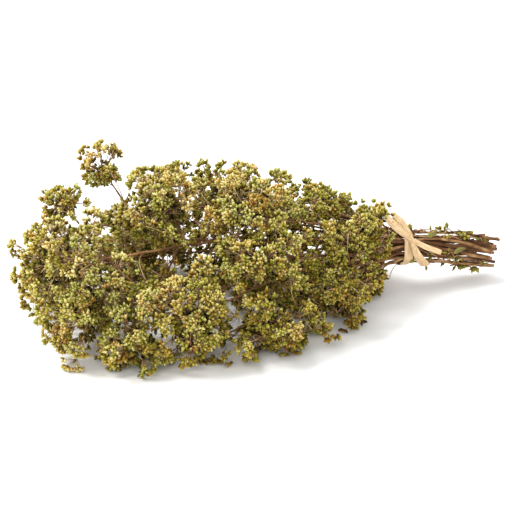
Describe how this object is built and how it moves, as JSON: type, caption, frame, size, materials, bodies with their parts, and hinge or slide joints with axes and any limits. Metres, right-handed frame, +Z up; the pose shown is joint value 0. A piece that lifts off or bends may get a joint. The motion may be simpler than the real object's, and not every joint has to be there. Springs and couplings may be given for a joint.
{
  "type": "dried oregano bundle",
  "caption": "Bunch of dried oregano lying on its side: a loose mass of small dry flower heads at one end, bare brown stems at the other, tied with raffia.",
  "frame": {"origin": "on the surface the bunch lies on, under the middle of its overall box", "axes": "+X along the bunch from the flower heads to the cut ends of the stems, +Z up, +Y to the back"},
  "size_m": [0.3398, 0.2066, 0.1068],
  "materials": {
    "stem": "dry woody stem, matte, red-brown with fine lengthwise ridges",
    "flower_head": "dry papery bracts, matte khaki green with straw tips and dark olive hollows",
    "raffia": "dry split palm leaf, soft sheen, straw with fine lengthwise fibres",
    "leaf": "dry curled leaf, matte dull green-brown"
  },
  "bodies": {
    "root": {"stem_01": "stem", "stem_02": "stem", "stem_03": "stem", "stem_04": "stem", "stem_05": "stem", "stem_06": "stem", "stem_07": "stem", "stem_08": "stem", "stem_09": "stem", "stem_10": "stem", "stem_11": "stem", "stem_12": "stem", "stem_13": "stem", "stem_14": "stem", "stem_15": "stem", "stem_16": "stem", "stem_17": "stem", "stem_18": "stem", "stem_19": "stem", "stem_20": "stem", "stem_21": "stem", "stem_22": "stem", "stem_23": "stem", "stem_24": "stem", "stem_25": "stem", "stem_26": "stem", "stem_27": "stem", "head_01": "flower_head", "head_02": "flower_head", "head_03": "flower_head", "head_04": "flower_head", "head_05": "flower_head", "head_06": "flower_head", "head_07": "flower_head", "head_08": "flower_head", "head_09": "flower_head", "head_10": "flower_head", "head_11": "flower_head", "head_12": "flower_head", "head_13": "flower_head", "head_14": "flower_head", "head_15": "flower_head", "head_16": "flower_head", "head_17": "flower_head", "head_18": "flower_head", "head_19": "flower_head", "head_20": "flower_head", "head_21": "flower_head", "head_22": "flower_head", "head_23": "flower_head", "head_24": "flower_head", "head_25": "flower_head", "head_26": "flower_head", "head_27": "flower_head", "raffia_strip_left": "raffia", "raffia_strip_right": "raffia", "leaf_01": "leaf", "leaf_02": "leaf", "leaf_03": "leaf", "leaf_04": "leaf"}
  },
  "joints": []
}
